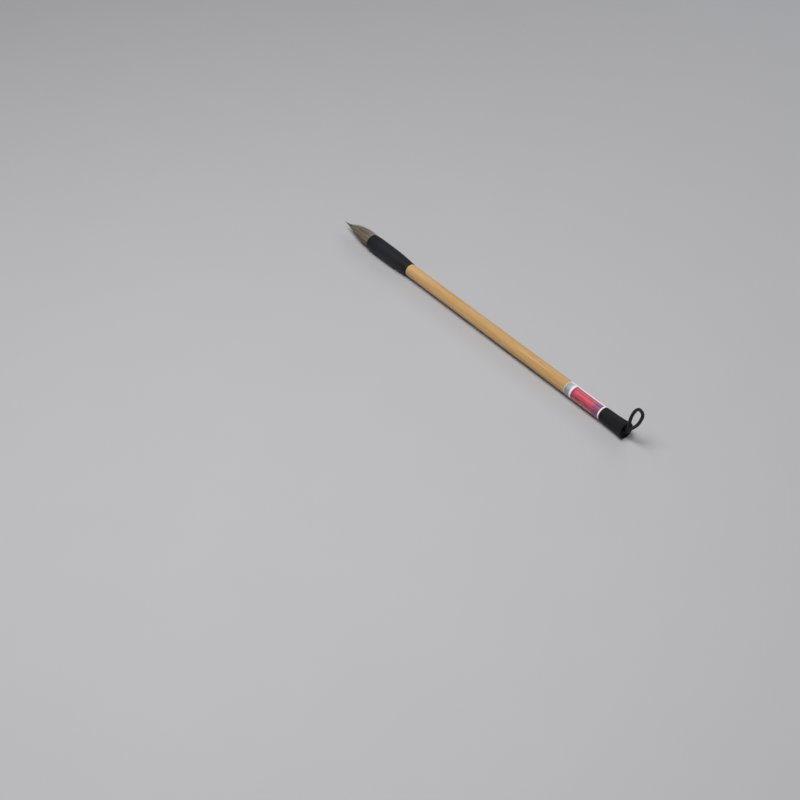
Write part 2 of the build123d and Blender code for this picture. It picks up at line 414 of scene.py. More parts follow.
class BambooSettings(bpy.types.PropertyGroup):
    """Sizes and colours of the bamboo shaft."""

    front_round: length("Front rounding", "Radius of the shaft's front edge", 0.9 * MM)
    waviness: length("Waviness", "How far the skin is from truly round", 0.035 * MM)
    pale: colour("Pale", "Palest straw of the bamboo", (0.64, 0.41, 0.185))
    golden: colour("Golden", "Main colour of the bamboo", (0.53, 0.31, 0.102))
    # The toasted colour also paints the shade along the shaft's underside.
    toasted_and_shade: colour("Toasted", "Darker fibres and the heated underside", (0.25, 0.105, 0.027))


class LabelSettings(bpy.types.PropertyGroup):
    """Sizes and colours of the printed label."""

    side_border: length("Side border", "White border beside the seam", 1.7 * MM)
    rear_border: length("Rear border", "White border beside the tail cap", 1.05 * MM)
    front_panel: length("Front panel", "Length of the small pale panel", 4.25 * MM)
    panel_gap: length("Panel gap", "White line between the two panels", 1.6 * MM)
    paper: colour("Paper", "White of the borders", (0.86, 0.83, 0.86))
    silver: colour("Silver", "Pale front panel", (0.42, 0.49, 0.48))
    coral: colour("Coral", "Bright half of the long panel", (0.68, 0.088, 0.140))
    # The crimson paints the shade on the long panel's lower half and in its crumples.
    shaded_crimson: colour("Crimson", "Deep half of the long panel", (0.42, 0.032, 0.068))
    maroon: colour("Maroon", "Thin lines and dark patches of the print", (0.085, 0.008, 0.020))
    violet: colour("Violet", "Tint that the foil turns to near the cap", (0.15, 0.085, 0.25))


class CapSettings(bpy.types.PropertyGroup):
    """Sizes and finish of the tail cap."""

    ribs: quantity("Ribs", "Ribs round the cap", 24)
    flute_depth: length("Flute depth", "Depth of the grooves between the ribs", 0.17 * MM)
    shade: colour("Shade", "Body colour of the cap", (0.0100, 0.0105, 0.0135))


class CordSettings(bpy.types.PropertyGroup):
    """Sizes and colour of the hanging cord."""

    diameter: length("Diameter", "Diameter of the braided cord", 2.0 * MM)
    braid_pitch: length("Braid pitch", "Length of one full turn of a strand", 6.6 * MM)
    shade: colour("Shade", "Colour of the cord", (0.010, 0.0095, 0.0125))


class StageSettings(bpy.types.PropertyGroup):
    """Floor, lights and camera."""

    floor_shade: colour("Floor", "Colour of the floor", (0.47, 0.47, 0.49))
    key_power: amount("Key light", "Power of the soft light above", 8.8, "POWER")
    fill_power: amount("Fill light", "Power of the side light", 0.4, "POWER")
    back_power: amount("Back light", "Power of the light from behind", 1.6, "POWER")
    daylight: amount("Daylight", "Strength of the light all round", 0.16)
    lens: amount("Lens", "Focal length in millimetres", 87.66, "CAMERA")


SETTINGS = {
    "tuft": TuftSettings,
    "ferrule": FerruleSettings,
    "bamboo": BambooSettings,
    "label": LabelSettings,
    "cap": CapSettings,
    "cord": CordSettings,
    "stage": StageSettings,
}


def settings(part):
    return getattr(bpy.context.scene, f"brush_{part}")


# ---- hair -----------------------------------------------------------------------------------------
# The tuft's outline: (share of the way from the point to the ferrule, share of its full radius).
TUFT_OUTLINE = [
    *[(0.0, 0.02), (0.14, 0.12), (0.3, 0.34), (0.52, 0.68)],
    *[(0.74, 0.90), (0.88, 0.97), (1.0, 1.0)],
]
HAIR_POINTS = 11
SOCKET_REACH = 1.4 * MM  # how far the visible hairs run into the ferrule

# The layers from the inside out. Depths are shares of the way from the axis to the tuft's outline, and
# tips and the body's start are shares of the way from the tuft's point to the ferrule. Spring lifts a
# hair's end off the tuft, and swell lifts its middle.
HAIR_LAYERS = (
    {
        "name": "core_bristles",
        "node": "core_hair",
        "slot": "core_bristle",
        "count": "core_hairs",
        "hairs": {"seed": 11, "depths": (0.05, 0.42), "tips": (-0.03, 0.16), "width": 0.75},
        "body": (0.40, 0.06),
    },
    {
        "name": "belly_bristles",
        "node": "belly_hair",
        "slot": "core_bristle",
        "count": "belly_hairs",
        "hairs": {"seed": 23, "depths": (0.45, 0.86), "tips": (0.05, 0.34), "width": 0.85, "locks": 14},
        "body": (0.80, 0.16),
    },
    {
        "name": "cover_bristles",
        "node": "cover_hair",
        "slot": "cover_bristle",
        "count": "cover_hairs",
        "hairs": {"seed": 37, "depths": (0.93, 1.01), "tips": (0.15, 0.50), "width": 1.0, "locks": 26},
        "body": (0.955, 0.30),
    },
)
STRAY_HAIRS = {"seed": 51, "depths": (0.98, 1.04), "tips": (0.22, 0.72), "width": 0.75, "spring": 0.7}


def hair_finish(name, sheen):
    """Animal hair: brown at the roots, olive in the belly, pale and fine at the ends, with a painted
    highlight on the tuft's upper side and painted shade on its underside.
    """
    own = settings("tuft")
    finish = Finish(name, Roughness=0.48)
    finish.shader.inputs["Sheen Weight"].default_value = sheen
    finish.shader.inputs["Sheen Roughness"].default_value = 0.4
    along, tone, upper = (finish.attribute(n) for n in ("along", "tone", "upper"))
    shade = finish.mix(along.step(0.62, 0.98), own.belly_colour, own.root_colour)
    shade = finish.mix(along.step(0.30, 0.02), shade, own.point_colour)
    shade = finish.mix(tone.step(0.50, 1.0) * 0.7, shade, own.fringe_and_highlight_colour)
    # Painted highlight: hairs on the tuft's upper side are made paler.
    shade = finish.mix(upper, shade, own.fringe_and_highlight_colour)
    # Low tone turns hair dark, which holds darker hairs and also the painted shade of the underside.
    finish.set(Base_Color=finish.mix(tone.step(0.40, 0.05) * 0.8, shade, own.dark_colour))
    finish.set(Roughness=0.40 + tone * 0.2)
    return finish.material


def tuft_radius(share):
    return TUFT_RADIUS * through(TUFT_OUTLINE, min(max(share, 0.0), 1.0))


def hair_line(root_share, angle, depth, tip_share, tip_angle, spring, swell, seed):
    """The points of one hair, from its root to its end."""
    line = []
    for run in spread(0.0, 1.0, HAIR_POINTS - 1):
        share = root_share + (tip_share - root_share) * run
        lift = 1 + spring * run**3 + swell * math.sin(math.pi * run**0.8) ** 2
        sway = noise.noise(Vector((seed * 7.3, run * 1.7, 0.0))) * 0.05 * run
        at = angle + (tip_angle - angle) * run**1.4 + sway
        radius = tuft_radius(share) * depth * lift
        line.append(place_on_axis(TUFT_TIP_X + HAIR_LENGTH * share, radius, at))
    return line


def hair_layer(name, count, seed, depths, tips, width, spring=0.0, locks=0):
    """Separate hairs all round the tuft, gathered into locks. Hairs with spring stand off its top."""
    chance = random.Random(seed)
    hairs = TubeMesh("along", "tone", "upper")
    root_share = 1 + SOCKET_REACH / HAIR_LENGTH
    gathers = []
    for lock in range(locks):
        direction = math.tau * (lock + chance.uniform(-0.35, 0.35)) / locks
        gathers.append((direction, chance.random(), chance.random()))
    for number in range(count):
        angle = chance.triangular(-1.7, 0.9) if spring else chance.uniform(0, math.tau)
        tip_share = chance.triangular(tips[0], tips[1], tips[0] + 0.3 * (tips[1] - tips[0]))
        tip_angle = angle + chance.gauss(0, 0.10)
        tone = chance.random()
        if locks:
            nearest = min(gathers, key=lambda gather: abs(signed_turn(gather[0], angle)))
            direction, reach, lock_tone = nearest
            tip_angle = angle + signed_turn(angle, direction) * chance.uniform(0.5, 0.72)
            tip_share += (reach - 0.5) * 0.5 * (tips[1] - tips[0])
            tone = 0.4 * tone + 0.6 * lock_tone
        # Painted shade: hairs on the tuft's underside get a lower tone, so they come out darker.
        tone *= 0.72 + 0.28 * math.cos(angle + math.radians(40))
        # Painted highlight: hairs on the tuft's upper side get a share of the pale colour, and stray hairs
        # get nearly all of it.
        upper = max(0.0, math.cos(angle + math.radians(30))) ** 2 * chance.uniform(0.0, 0.6)
        upper = max(upper, 0.9 if spring else 0.0)
        lift, swell = spring * chance.random() ** 2, 0.4 * spring * chance.random()
        depth = chance.uniform(*depths)
        line = hair_line(root_share, angle, depth, tip_share, tip_angle, lift, swell, seed + number)
        shares = [(point.x - TUFT_TIP_X) / HAIR_LENGTH for point in line]
        thickness = width * settings("tuft").hair_width * chance.uniform(0.7, 1.15) / 2
        radii = [thickness * (1 - 0.82 * run**1.6) for run in spread(0.0, 1.0, HAIR_POINTS - 1)]
        outwards = place_on_axis(0, 1, angle) - place_on_axis(0, 0, 0)
        hairs.add(line, radii, 3, outwards, along=shares, tone=tone, upper=upper)
    return hairs.mesh(name)


def signed_turn(first, second):
    """The turn that takes one direction to another the short way."""
    return (second - first + math.pi) % math.tau - math.pi


def tuft_body(name, inset, start_share, grooves, seed):
    """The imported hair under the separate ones, with lengthwise grooves, as a closed mesh."""
    end_share = 1 + SOCKET_REACH / HAIR_LENGTH

    def ring(share):
        full = tuft_radius(min(share, 1.0)) * inset

        def radius(angle):
            spot = Vector((math.cos(angle) * grooves, math.sin(angle) * grooves, share * 2.2 + seed))
            return full * (1 + 0.055 * noise.noise(spot))

        return radius

    shares = spread(start_share, end_share, 28)
    rings = [(TUFT_TIP_X + HAIR_LENGTH * start_share - 0.2 * MM, 0)]
    rings += [(TUFT_TIP_X + HAIR_LENGTH * share, ring(share)) for share in shares]
    rings.append((TUFT_TIP_X + HAIR_LENGTH * end_share, 0))
    mesh = turned_mesh(name, rings, 96)
    along = [(vertex.co.x - TUFT_TIP_X) / HAIR_LENGTH for vertex in mesh.vertices]
    set_attribute(mesh, "along", along)
    tones = [0.30 + 0.25 * noise.noise(vertex.co / MM * 1.7) for vertex in mesh.vertices]
    set_attribute(mesh, "tone", tones)
    # Painted highlight: the upper side of the hair under the separate ones is made paler.
    top_highlights = [max(0.0, (vertex.co.z - AXIS_Z) / TUFT_RADIUS) ** 2 * 0.6 for vertex in mesh.vertices]
    set_attribute(mesh, "upper", top_highlights)
    return mesh


def bend_with_tuft(piece):
    """Bakes a layer of hair's placement into its mesh."""
    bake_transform(piece)


class BRUSH_OT_make_tuft(bpy.types.Operator):
    """Make the three layers of hair, from the fine point out to the soft cover"""

    bl_idname = "brush.make_tuft"
    bl_label = "Make hair tuft"

    def execute(self, context):
        own = settings("tuft")
        finish = hair_finish("animal hair", 0.25)
        for layer in HAIR_LAYERS:
            name, node = layer["name"], layer["node"]
            meshes = [hair_layer(name, getattr(own, layer["count"]), **layer["hairs"])]
            meshes.append(tuft_body(name, *layer["body"], 9.0, layer["hairs"]["seed"]))
            if node == "cover_hair":
                meshes.append(hair_layer(name, own.stray_hairs, **STRAY_HAIRS))
            mesh = join_meshes(name, *meshes)
            bend_with_tuft(add_piece(name, mesh, finish, None, (node,), 80))
        return {"FINISHED"}


def join_meshes(name, *meshes):
    """One mesh that holds several, with their attributes."""
    objects = [bpy.data.objects.new(mesh.name, mesh) for mesh in meshes]
    for thing in objects:
        bpy.context.scene.collection.objects.link(thing)
    with bpy.context.temp_override(active_object=objects[0], selected_editable_objects=objects):
        bpy.ops.object.join()
    mesh = objects[0].data
    bpy.data.objects.remove(objects[0])
    mesh.name = name
    return mesh


# ---- what holds the hair --------------------------------------------------------------------------
def thread_finish():
    finish = Finish("waxed thread", Roughness=0.6)
    place = finish.place()
    x, y, z = finish.parts(place)
    twist = ((x + y * 0.6 + z * 0.6) * 14.0).sine() * 0.5 + 0.5
    finish.set(Base_Color=finish.mix(twist, (0.40, 0.33, 0.21), (0.62, 0.55, 0.40)))
    finish.bump(twist, 0.02 * MM)
    return finish.material


def resin_finish():
    finish = Finish("amber resin", Roughness=0.2)
    finish.shader.inputs["Coat Weight"].default_value = 0.5
    clouds = finish.cloud(finish.place(), 0.9, 4.0)
    shade = finish.ramp(clouds, (0.3, (0.10, 0.038, 0.010)), (0.7, (0.30, 0.14, 0.040)))
    finish.set(Base_Color=shade, Roughness=0.15 + clouds * 0.2)
    return finish.material


class BRUSH_OT_make_roots(bpy.types.Operator):
    """Make the bound hair roots, their thread and the resin that glues them into the ferrule"""

    bl_idname = "brush.make_roots"
    bl_label = "Make hair roots"

    def execute(self, context):
        low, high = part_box("hair_root")
        thread_low, thread_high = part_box("binding_thread")
        waist = (thread_low.x, thread_high.x)
        full = half_height("hair_root")
        thread = 0.16 * MM  # the thread's radius
        tied = half_height("binding_thread") - 2 * thread

        def ring(x):
            squeeze = 1 - smooth_steps(min(1.0, max(0.0, abs(x - sum(waist) / 2) / MM - 0.8)))

            def radius(angle):
                spot = Vector((math.cos(angle) * 12, math.sin(angle) * 12, x / MM * 0.1))
                return (full + (tied - full) * squeeze) * (0.985 + 0.02 * noise.noise(spot))

            return radius

        rings = [(x, ring(x)) for x in spread(low.x, high.x, 40)]
        mesh = turned_mesh("bound_roots", [(low.x, 0), *rings, (high.x, 0)], 120)
        count = len(mesh.vertices)
        set_attribute(mesh, "along", [1.0] * count)
        set_attribute(mesh, "tone", [0.3 + 0.3 * noise.noise(v.co / MM * 3) for v in mesh.vertices])
        set_attribute(mesh, "upper", [0.0] * count)
        finish = hair_finish("bound hair", 0.1)
        add_piece("bound_roots", mesh, finish, "handle", ("hair_root",))

        turns = 6
        coil = TubeMesh()
        steps = 64 * turns
        xs = spread(waist[0] + thread, waist[1] - thread, steps)
        line = [place_on_axis(x, tied + thread, math.tau * turns * i / steps) for i, x in enumerate(xs)]
        coil.add(line, [thread * 0.95] * len(line), 8, Vector((1, 0, 0)))
        mesh = coil.mesh("thread_winding")
        finish = thread_finish()
        add_piece("thread_winding", mesh, finish, "handle", ("binding_thread",))

        low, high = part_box("root_resin")
        radius = half_height("root_resin")
        creep = 0.45 * MM  # how far the resin climbs at the socket's wall
        meniscus = arc(low.x + creep, radius - 0.02 * MM, creep, 180, 270, 6)
        wall = radius - 0.005 * MM
        rings = [(low.x + 0.5 * MM, 0), *reversed(meniscus), (low.x, wall), (high.x, wall), (high.x, 0)]
        mesh = turned_mesh("resin_plug", rings, 96)
        add_piece("resin_plug", mesh, resin_finish(), "handle", ("root_resin",))
        return {"FINISHED"}


# ---- ferrule --------------------------------------------------------------------------------------
def ferrule_finish():
    """Satin black horn-like plastic: fine turning rings, faint clouds and a rubbed middle."""
    own = settings("ferrule")
    finish = Finish("satin ferrule", Roughness=0.4)
    finish.shader.inputs["Specular IOR Level"].default_value = 0.16
    place = finish.place()
    x = finish.parts(place)[0]
    clouds = finish.cloud(finish.stretched(place, 0.25, 1.0, 1.0), 0.55, 5.0)
    streaks = finish.cloud(finish.stretched(place, 0.15, 3.2, 3.2), 1.1, 4.0, 0.65)
    middle = (MOUTH_X + SHOULDER_X) / 2 / MM
    rubbed = (x - middle).size().step(17.0, 4.0) * clouds
    shade = finish.mix(rubbed, own.shade, own.sheen_shade)
    finish.set(Base_Color=finish.mix(streaks.step(0.5, 0.8) * 0.35, shade, (0.034, 0.033, 0.037)))
    finish.set(Roughness=0.36 + clouds * 0.16 + streaks * 0.10)
    rings = (x * 21.0).sine() * 0.25 + finish.cloud(finish.stretched(place, 9.0, 0.2, 0.2), 1.0, 2.0)
    finish.bump(rings + streaks * 0.6, 0.012 * MM)
    return finish.material


class BRUSH_OT_make_ferrule(bpy.types.Operator):
    """Finish the turned ferrule that holds the hair"""

    bl_idname = "brush.make_ferrule"
    bl_label = "Make ferrule"

    def execute(self, context):
        high = FERRULE_HIGH
        land = (MOUTH_X + 8 * MM, MOUTH_X + 16 * MM)  # the straight stretch at the widest part
        rim = 5.0 * MM
        lip, back_edge, bore_edge, tenon_edge = 0.35 * MM, 0.2 * MM, 0.25 * MM, 0.4 * MM
        socket = half_height("root_resin")
        tenon = FRONT_TENON_RADIUS

        def swell(x):
            if x < land[0]:
                share = (land[0] - x) / (land[0] - MOUTH_X)
                return SWELL_RADIUS - (SWELL_RADIUS - rim) * share**2
            if x > land[1]:
                share = (x - land[1]) / (SHOULDER_X - land[1])
                return SWELL_RADIUS - (SWELL_RADIUS - SHOULDER_RADIUS) * share**2
            return SWELL_RADIUS

        front = arc(MOUTH_X + lip, swell(MOUTH_X + lip) - lip, lip, 180, 90, 8)
        outside = [(x, swell(x)) for x in spread(MOUTH_X + lip * 1.3, SHOULDER_X - 0.25 * MM, 40)]
        back = arc(SHOULDER_X - back_edge, SHOULDER_RADIUS - back_edge, back_edge, 80, 0, 5)
        inside = [(SHOULDER_X, tenon), (high.x - tenon_edge, tenon)]
        inside += [(high.x, tenon - tenon_edge), (high.x, 0)]
        socket_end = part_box("root_resin")[1].x
        bore = [(socket_end, 0), (socket_end, socket), (MOUTH_X + bore_edge, socket)]
        bore += arc(MOUTH_X + bore_edge, socket + 0.02 * MM, bore_edge, 225, 180, 3)
        mesh = turned_mesh("turned_ferrule", [*bore, *front, *outside, *back, *inside], 128)
        add_piece("turned_ferrule", mesh, ferrule_finish(), "handle", ("ferrule",), 50)
        return {"FINISHED"}


# ---- bamboo shaft ---------------------------------------------------------------------------------
def bamboo_finish():
    """Varnished bamboo: straw to gold, long dark fibres and flecks, with painted shade along the underside
    and a painted highlight at the front end.
    """
    own = settings("bamboo")
    finish = Finish("varnished bamboo", Roughness=0.36)
    finish.shader.inputs["Coat Roughness"].default_value = 0.18
    finish.shader.inputs["Coat Weight"].default_value = 0.25
    place = finish.place()
    x, _, z = finish.parts(place)
    broad = finish.cloud(finish.stretched(place, 0.018, 0.35, 0.35), 1.0, 3.0)
    fibres = finish.cloud(finish.stretched(place, 0.035, 3.4, 3.4), 1.0, 5.0, 0.6, 0.15)
    fine = finish.cloud(finish.stretched(place, 0.08, 11.0, 11.0), 1.0, 3.0, 0.7)
    flecks = finish.cloud(finish.stretched(place, 0.35, 5.5, 5.5), 1.0, 2.0)
    body = finish.mix(broad.step(0.32, 0.68), own.golden, own.pale)
    towards_cap = x.step(SHOULDER_X / MM, SHAFT_END_X / MM)
    body = finish.mix(towards_cap * 0.45, body, own.golden)
    body = finish.mix(fibres.step(0.48, 0.72) * 0.55, body, own.toasted_and_shade)
    body = finish.mix(fine.step(0.55, 0.78) * 0.35, body, own.toasted_and_shade)
    body = finish.mix(flecks.step(0.66, 0.78) * 0.5, body, (0.15, 0.050, 0.012))
    # Painted shade: below the axis the shaft is darkened with the toasted colour, along a ragged line.
    height = z - AXIS_Z / MM
    edge = height + (finish.cloud(finish.stretched(place, 0.05, 0.8, 0.8), 1.0, 4.0) - 0.5) * 3.0
    underside = edge.step(-1.2, -3.6)
    body = finish.mix(underside * 0.55, body, own.toasted_and_shade)
    # Painted highlight: the rounded front end of the shaft is made paler.
    front = x.step(SHOULDER_X / MM + 2.2, SHOULDER_X / MM + 0.2)
    finish.set(Base_Color=finish.mix(front * 0.45, body, (0.66, 0.44, 0.22)))
    finish.set(Roughness=0.30 + fibres * 0.14 + flecks * 0.08)
    finish.bump(fibres * 0.5 + fine * 0.5, 0.035 * MM)
    return finish.material


class BRUSH_OT_make_bamboo(bpy.types.Operator):
    """Make the bamboo shaft, which is a little out of round along its fibres"""

    bl_idname = "brush.make_bamboo"
    bl_label = "Make bamboo shaft"

    def execute(self, context):
        own = settings("bamboo")
        rounding = own.front_round
        straight_from = SHAFT_END_X - 37 * MM
        calm_from, calm_fade = SHAFT_END_X - 30 * MM, 8 * MM  # truly round under the label

        def skin(x):
            share = min(1.0, (x - SHOULDER_X) / (straight_from - SHOULDER_X))
            full = SHAFT_FRONT_RADIUS + (SHAFT_RADIUS - SHAFT_FRONT_RADIUS) * share
            calm = smooth_steps(min(1.0, max(0.0, (calm_from - x) / calm_fade)))

            def radius(angle):
                spot = Vector((math.cos(angle) * 2.4, math.sin(angle) * 2.4, x / MM * 0.02))
                ridge = Vector((math.cos(angle) * 9.0, math.sin(angle) * 9.0, x / MM * 0.01))
                wave = 0.75 * noise.noise(spot) + 0.25 * noise.noise(ridge)
                return full - own.waviness * calm * (0.5 + wave)

            return radius

        pith, chamfer = 2.2 * MM, 0.25 * MM
        tenon, cap_tenon = FRONT_TENON_RADIUS + TENON_CLEARANCE, REAR_TENON_RADIUS + TENON_CLEARANCE
        front_bore, rear_bore = SHOULDER_X + 12.6 * MM, SHAFT_END_X - 8.6 * MM
        nose = arc(SHOULDER_X + rounding, SHAFT_FRONT_RADIUS - rounding, rounding, 180, 98, 10)
        outside = [(x, skin(x)) for x in spread(SHOULDER_X + rounding, SHAFT_END_X - chamfer, 90)]
        inside = [
            (SHAFT_END_X, SHAFT_RADIUS - chamfer),
            (SHAFT_END_X, cap_tenon),
            (rear_bore, cap_tenon),
            (rear_bore, pith),
            (front_bore, pith),
            (front_bore, tenon),
            (SHOULDER_X, tenon),
        ]
        mesh = turned_mesh("bamboo_handle", [*nose, *outside, *inside], 128, closed=True)
        add_piece("bamboo_handle", mesh, bamboo_finish(), "handle", ("bamboo_shaft",), 45)
        return {"FINISHED"}


# ---- label ----------------------------------------------------------------------------------------
LABEL_ARC = math.radians(338)
LABEL_SEAM = math.radians(-37)  # from the top towards -Y

# Places in the print, in millimetres.
FOLD_FROM_BORDER = 6.1  # where the painted shade on the label's lower side begins, and the long panel turns from coral to crimson
VIOLET_FROM_END = (6.4, 4.2)  # where the violet tint comes in, before the long panel's end
PRINT_EDGE = 0.05  # how soft the edges of the print are


def ornament_on(finish, panel, along, across, fold, start, end):
    """Plain ornament for the lower half, which has the painted shade: a gold wave among curling strokes of
    gold and white.
    """
    curls = finish.cloud(finish.stretched(finish.place(), 0.9, 1.5, 1.5), 1.0, 1.5, 0.4, 0.7)
    wave = across.near((along * 0.75).sine() * 0.55 + (fold + 1.5), 0.10, 0.20)
    area = along.between(start + 1.6, end - 5.0, 0.6) * across.between(fold + 0.6, fold + 6.0, 0.5)
    panel = finish.mix(curls.near(0.42, 0.014, 0.032) * area * 0.75, panel, (0.58, 0.32, 0.09))
    panel = finish.mix(wave * area * 0.7, panel, (0.62, 0.36, 0.11))
    white = curls.near(0.52, 0.016, 0.036) * area * across.step(fold + 1.6, fold + 2.8)
    return finish.mix(white * 0.9, panel, settings("label").paper)


def red_print(finish, along, across, side, start, end, crumple_and_shading, glints):
    """The long panel: coral, then crimson past the fold as painted shade on its lower side, and tinted
    violet near the cap.
    """
    own = settings("label")
    fold = side + FOLD_FROM_BORDER
    patches = finish.cloud(finish.stretched(finish.place(), 0.45, 0.9, 0.9), 1.0, 4.0, 0.6, 0.4)
    # Painted shade: past the fold the long panel turns crimson.
    panel = finish.mix(across.step(fold - 0.25, fold + 0.25), own.coral, own.shaded_crimson)
    panel = finish.mix(glints.step(0.55, 0.72) * 0.4, panel, (0.80, 0.22, 0.25))
    # Painted shade: the low parts of the crumples turn crimson.
    panel = finish.mix(crumple_and_shading.step(0.50, 0.36) * 0.45, panel, own.shaded_crimson)
    brown = patches.step(0.50, 0.60) * across.between(fold + 0.2, fold + 4.2, 0.4)
    panel = finish.mix(brown * 0.8, panel, (0.10, 0.028, 0.020))
    begins, full = (end - distance for distance in VIOLET_FROM_END)
    tinted = across.between(side + 0.8, fold - 1.2, 0.8) + across.between(fold, fold + 4.0, 0.5)
    tint = along.step(begins, full) * (patches * 2.2).step(0.35, 0.95) * tinted
    panel = finish.mix(tint * 0.72, panel, own.violet)
    panel = ornament_on(finish, panel, along, across, fold, start, end)
    lines = across.near(side + 0.62, 0.10, 0.20) + across.near(fold, 0.08, 0.16) * 0.6
    ends = along.step(start + 0.45, start + 0.25) + along.step(end - 0.45, end - 0.25)
    panel = finish.mix(along.step(start + 2.0, start + 0.6) * 0.35, panel, own.maroon)
    panel = finish.mix(lines * 0.8 + ends * 0.7, panel, own.maroon)
    # Painted highlight: a pink band runs along the panel near the seam border.
    panel = finish.mix(across.near(side + 1.6, 0.12, 0.30) * 0.6, panel, (0.72, 0.33, 0.42))
    return finish.mix(across.near(side + 2.5, 0.15, 0.40) * 0.3, panel, own.maroon)


def silver_print(finish, along, across, side, width, end, crumple_and_shading):
    """The short panel: crumpled silver with painted highlights on the crumples and rows of dashes, with
    painted shade towards its underside and a painted shadow at its front edge.
    """
    own = settings("label")
    fold = side + FOLD_FROM_BORDER
    rows = along / 0.95
    beads = ((across * 3.1 + rows.whole() * 1.7).sine() * 0.5 + 0.5).step(0.35, 0.60)
    dashes = rows.rest().between(0.25, 0.62, 0.03) * beads
    dashes = dashes * along.between(0.7, end - 0.5, PRINT_EDGE)
    dashes = dashes * across.between(side + 0.8, width - side - 0.8, PRINT_EDGE)
    # Painted highlight: the high parts of the crumples turn pale silver.
    silver = finish.mix(crumple_and_shading.step(0.35, 0.65), own.silver, (0.60, 0.66, 0.66))
    # Painted shade: the silver darkens past the fold, towards its underside.
    silver = finish.mix(across.step(fold - 3.5, fold + 1.5) * 0.6, silver, (0.17, 0.21, 0.24))
    # Painted shadow: the silver darkens at the label's front edge.
    silver = finish.mix(along.step(2.4, 0.5) * 0.4, silver, (0.17, 0.18, 0.18))
    return finish.mix(dashes * 0.55, silver, (0.10, 0.13, 0.14))


def label_finish(width, span):
    """A printed foil label: white borders, a short silver panel and a long red one."""
    own = settings("label")
    finish = Finish("printed foil label", Roughness=0.3)
    finish.shader.inputs["Coat Weight"].default_value = 0.35
    finish.shader.inputs["Coat Roughness"].default_value = 0.12
    along, across = finish.attribute("along"), finish.attribute("across")
    place = finish.place()
    side, silver_end = own.side_border / MM, own.front_panel / MM
    red_start, red_end = silver_end + own.panel_gap / MM, span - own.rear_border / MM
    printed = across.between(side, width - side, PRINT_EDGE)
    silver_area = along.between(0.25, silver_end, PRINT_EDGE) * printed
    red_area = along.between(red_start, red_end, PRINT_EDGE) * printed
    crumple_and_shading = finish.cloud(finish.stretched(place, 0.35, 1.0, 1.0), 0.7, 4.0, 0.55)
    glints = finish.cloud(finish.stretched(place, 0.16, 2.2, 2.2), 1.0, 3.0)
    red = red_print(finish, along, across, side, red_start, red_end, crumple_and_shading, glints)
    silver = silver_print(finish, along, across, side, width, silver_end, crumple_and_shading)
    paper = finish.mix(crumple_and_shading * 0.25, own.paper, (0.70, 0.67, 0.72))
    shade = finish.mix(silver_area, paper, silver)
    finish.set(Base_Color=finish.mix(red_area, shade, red))
    foil = (silver_area + red_area).step(0.2, 0.8)
    finish.set(Metallic=foil * 0.30)
    finish.set(Roughness=0.46 - foil * 0.16 + crumple_and_shading * 0.12)
    finish.bump(crumple_and_shading * 0.7 + glints * 0.3, 0.05 * MM)
    return finish.material


def edge_of(sheet):
    """The points round the edge of a sheet that is a list of rows."""
    right = [row[-1] for row in sheet[1:-1]]
    left = [row[0] for row in sheet[-2:0:-1]]
    return [*sheet[0], *right, *reversed(sheet[-1]), *left]


class BRUSH_OT_make_label(bpy.types.Operator):
    """Wrap the printed foil label round the shaft, with a seam that lifts a little"""

    bl_idname = "brush.make_label"
    bl_label = "Make label"

    def execute(self, context):
        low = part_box("foil_label")[0]
        span = SHAFT_END_X - 0.03 * MM - low.x  # it ends just short of the tail cap
        width = LABEL_ARC * LABEL_RADIUS
        thickness = LABEL_RADIUS - SHAFT_RADIUS
        glue, bubble = 0.006 * MM, 0.016 * MM
        curl_height, curl_width = 0.07 * MM, 1.1 * MM
        rows, columns = 48, 150
        work = bmesh.new()
        sheets = []
        for lift in (0.0, thickness * 0.92):
            grid = []
            for row in range(rows + 1):
                x = low.x + span * row / rows
                line = []
                for column in range(columns + 1):
                    turn = LABEL_ARC * column / columns
                    near_seam = min(turn, LABEL_ARC - turn) * LABEL_RADIUS
                    curl = curl_height * max(0.0, 1 - near_seam / curl_width) ** 2
                    air = bubble * max(0.0, noise.noise(Vector((x / MM * 0.45, turn * 2.6, 4.0))))
                    radius = SHAFT_RADIUS + glue + lift + curl + air
                    line.append(work.verts.new(place_on_axis(x, radius, LABEL_SEAM + turn)))
                grid.append(line)
            sheets.append(grid)
        for sheet in sheets:
            for row in range(rows):
                for column in range(columns):
                    corners = (sheet[row][column], sheet[row][column + 1])
                    work.faces.new((*corners, sheet[row + 1][column + 1], sheet[row + 1][column]))
        inner, outer = edge_of(sheets[0]), edge_of(sheets[1])
        for index in range(len(inner)):
            after = (index + 1) % len(inner)
            work.faces.new((inner[index], inner[after], outer[after], outer[index]))
        bmesh.ops.recalc_face_normals(work, faces=work.faces)
        mesh = bpy.data.meshes.new("wrapped_label")
        work.to_mesh(mesh)
        work.free()
        set_attribute(mesh, "along", [(vertex.co.x - low.x) / MM for vertex in mesh.vertices])
        half_gap = (math.tau - LABEL_ARC) / 2
        across = []
        for vertex in mesh.vertices:
            turn = math.atan2(-vertex.co.y, vertex.co.z - AXIS_Z) - LABEL_SEAM
            across.append(((turn + half_gap) % math.tau - half_gap) * LABEL_RADIUS / MM)
        set_attribute(mesh, "across", across)
        finish = label_finish(width / MM, span / MM)
        add_piece("wrapped_label", mesh, finish, "handle", ("foil_label",), 50)
        return {"FINISHED"}


